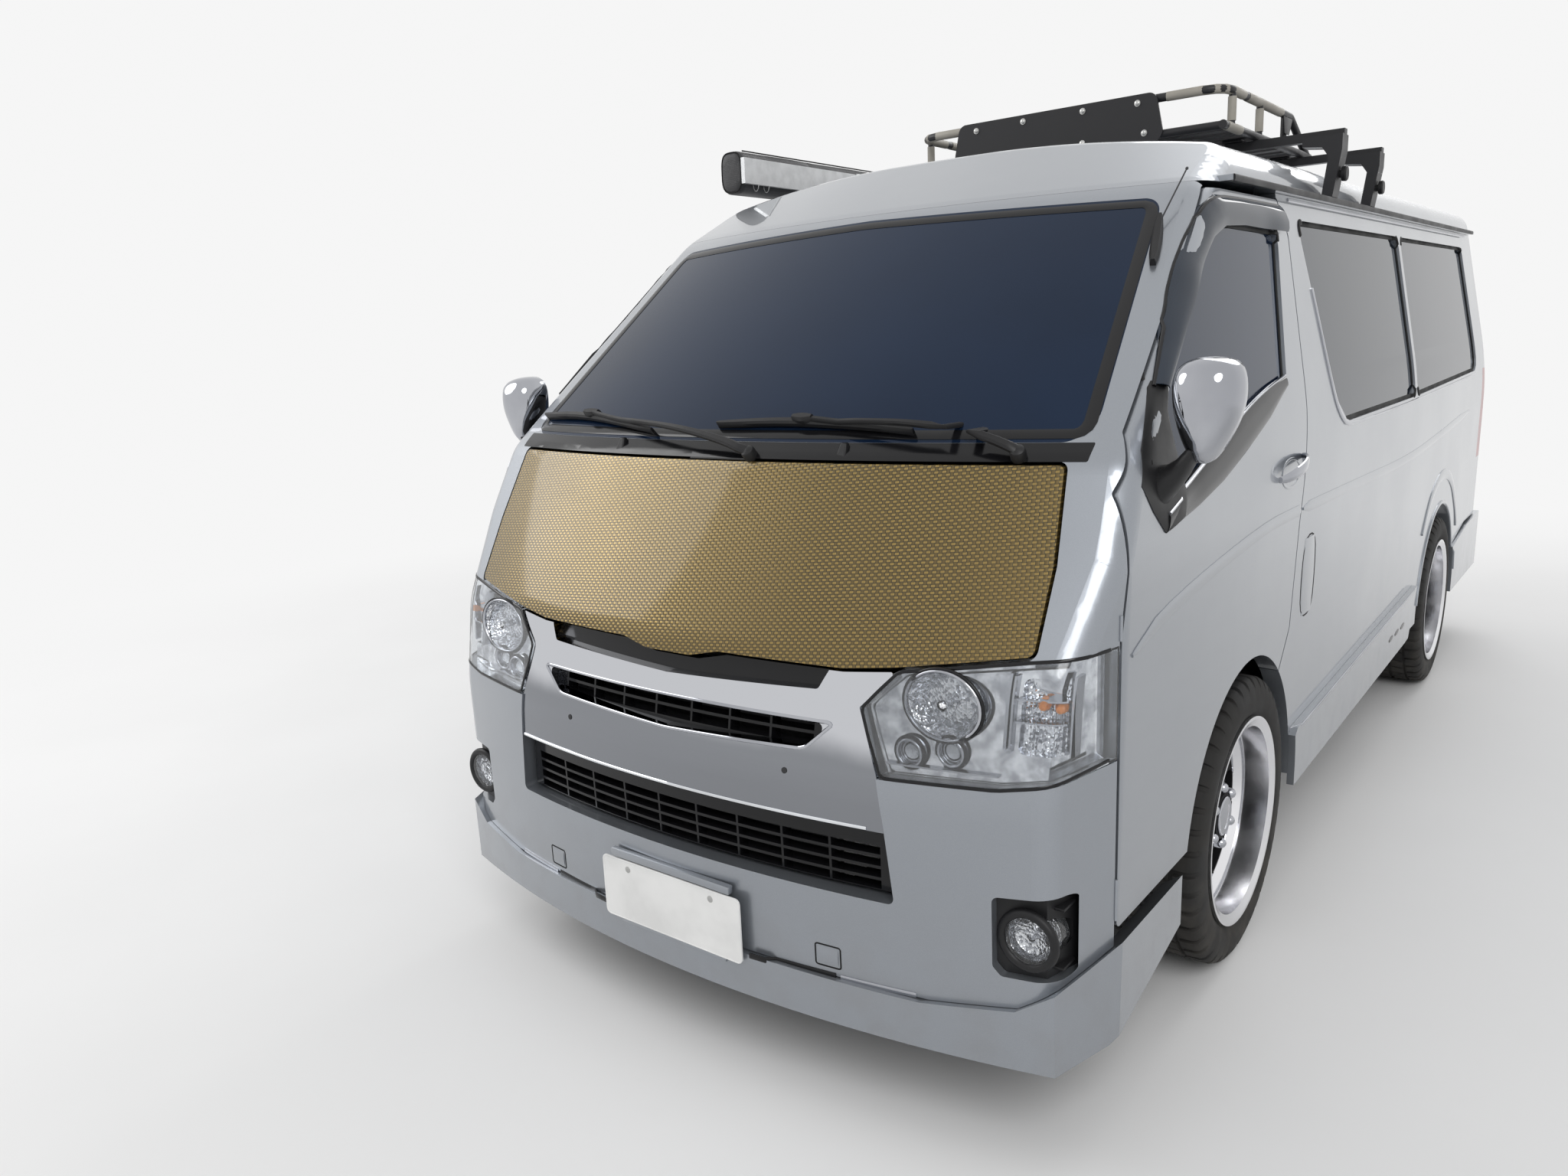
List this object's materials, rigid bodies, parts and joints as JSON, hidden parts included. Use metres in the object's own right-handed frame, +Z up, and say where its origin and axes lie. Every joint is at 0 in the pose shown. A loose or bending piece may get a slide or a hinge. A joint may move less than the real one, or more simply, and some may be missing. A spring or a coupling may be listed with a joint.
{
  "type": "passenger van",
  "caption": "Silver cab-forward passenger van with deep-dish wheels, front lip, side skirts, roof basket and side awning.",
  "frame": {"origin": "ground, in the middle of the van's length and width", "axes": "+Z up, the nose towards -Y, +X to the van's left"},
  "size_m": [1.948, 4.727, 2.0919],
  "materials": {
    "silver_paint": "metallic gloss",
    "wrap_gold": "woven gloss film",
    "underbody_paint": "matt",
    "bright_chrome": "polished",
    "black_plastic": "grained",
    "tinted_glass": "tinted",
    "lamp_glass": "clear",
    "lamp_red": "gloss",
    "lamp_reflector": "mirrored",
    "tyre_rubber": "moulded",
    "rim_metal": "polished lip, black centre",
    "frame_steel": "matt",
    "cast_engine": "cast",
    "exhaust_steel": "dull",
    "rack_black": "satin powder coat",
    "rail_aluminium": "anodised",
    "bag_fabric": "coated cloth",
    "seat_fabric": "woven",
    "plate_white": "satin"
  },
  "bodies": {
    "van_body": {"awning_bag": "bag_fabric", "awning_rail": "rail_aluminium", "cowl": "black_plastic", "crossbars": "rack_black", "dashboard": "black_plastic", "engine_block": "cast_engine", "exhaust": "exhaust_steel", "firewall": "underbody_paint", "floor_pan": "underbody_paint", "fog_bezels": "black_plastic", "fog_lamps": "lamp_glass", "front_bumper": "silver_paint", "front_lip": "silver_paint", "front_pillars": "silver_paint", "front_suspension": "frame_steel", "fuel_tank": "frame_steel", "grille_black": "black_plastic", "grille_chrome": "bright_chrome", "headlamp_housings": "lamp_reflector", "headlamps": "lamp_glass", "number_plates": "plate_white", "radiator": "frame_steel", "rear_axle": "frame_steel", "rear_bumper": "silver_paint", "roof_basket": "rack_black", "roof_panel": "silver_paint", "seat_frames": "frame_steel", "seats": "seat_fabric", "side_glass": "tinted_glass", "side_panel_left": "silver_paint", "side_panel_right": "silver_paint", "side_skirts": "silver_paint", "sliding_door": "silver_paint", "steering_wheel": "black_plastic", "tail_lamps": "lamp_red", "wind_deflector": "rack_black", "windscreen": "tinted_glass"},
    "door_left_body": {"door_left": "silver_paint", "door_glass_left": "tinted_glass", "mirror_left": "bright_chrome"},
    "door_right_body": {"door_right": "silver_paint", "door_glass_right": "tinted_glass", "mirror_right": "bright_chrome"},
    "bonnet_body": {"bonnet": "wrap_gold"},
    "tailgate_body": {"tailgate": "silver_paint", "tailgate_glass": "tinted_glass"},
    "knuckle_left_body": {"knuckle_left": "frame_steel"},
    "knuckle_right_body": {"knuckle_right": "frame_steel"},
    "wheel_front_left_body": {"rim_front_left": "rim_metal", "tyre_front_left": "tyre_rubber"},
    "wheel_front_right_body": {"rim_front_right": "rim_metal", "tyre_front_right": "tyre_rubber"},
    "wheel_rear_left_body": {"rim_rear_left": "rim_metal", "tyre_rear_left": "tyre_rubber"},
    "wheel_rear_right_body": {"rim_rear_right": "rim_metal", "tyre_rear_right": "tyre_rubber"}
  },
  "joints": [
    {"name": "door_left_hinge", "type": "hinge", "parent": "van_body", "child": "door_left_body", "pos_m": [0.8435, -2.079, 0.75], "axis": [0, 0, -1], "range_deg": [0, 65]},
    {"name": "door_right_hinge", "type": "hinge", "parent": "van_body", "child": "door_right_body", "pos_m": [-0.8435, -2.079, 0.75], "axis": [0, 0, 1], "range_deg": [0, 65]},
    {"name": "bonnet_hinge", "type": "hinge", "parent": "van_body", "child": "bonnet_body", "pos_m": [0, -2.1295, 1.2545], "axis": [-1, 0, 0], "range_deg": [0, 45]},
    {"name": "tailgate_hinge", "type": "hinge", "parent": "van_body", "child": "tailgate_body", "pos_m": [0, 2.271, 1.8755], "axis": [1, 0, 0], "range_deg": [0, 85]},
    {"name": "steer_left", "type": "hinge", "parent": "van_body", "child": "knuckle_left_body", "pos_m": [0.69, -1.305, 0.341], "axis": [0, 0, 1], "range_deg": [-32, 32]},
    {"name": "steer_right", "type": "hinge", "parent": "van_body", "child": "knuckle_right_body", "pos_m": [-0.69, -1.305, 0.341], "axis": [0, 0, 1], "range_deg": [-32, 32]},
    {"name": "wheel_front_left_spin", "type": "hinge", "parent": "knuckle_left_body", "child": "wheel_front_left_body", "pos_m": [0.736, -1.305, 0.341], "axis": [1, 0, 0], "continuous": true},
    {"name": "wheel_front_right_spin", "type": "hinge", "parent": "knuckle_right_body", "child": "wheel_front_right_body", "pos_m": [-0.736, -1.305, 0.341], "axis": [1, 0, 0], "continuous": true},
    {"name": "wheel_rear_left_spin", "type": "hinge", "parent": "van_body", "child": "wheel_rear_left_body", "pos_m": [0.742, 1.265, 0.341], "axis": [1, 0, 0], "continuous": true},
    {"name": "wheel_rear_right_spin", "type": "hinge", "parent": "van_body", "child": "wheel_rear_right_body", "pos_m": [-0.742, 1.265, 0.341], "axis": [1, 0, 0], "continuous": true}
  ],
  "couplings": [
    {"joint": "steer_right", "follows": "steer_left", "ratio": 1}
  ]
}
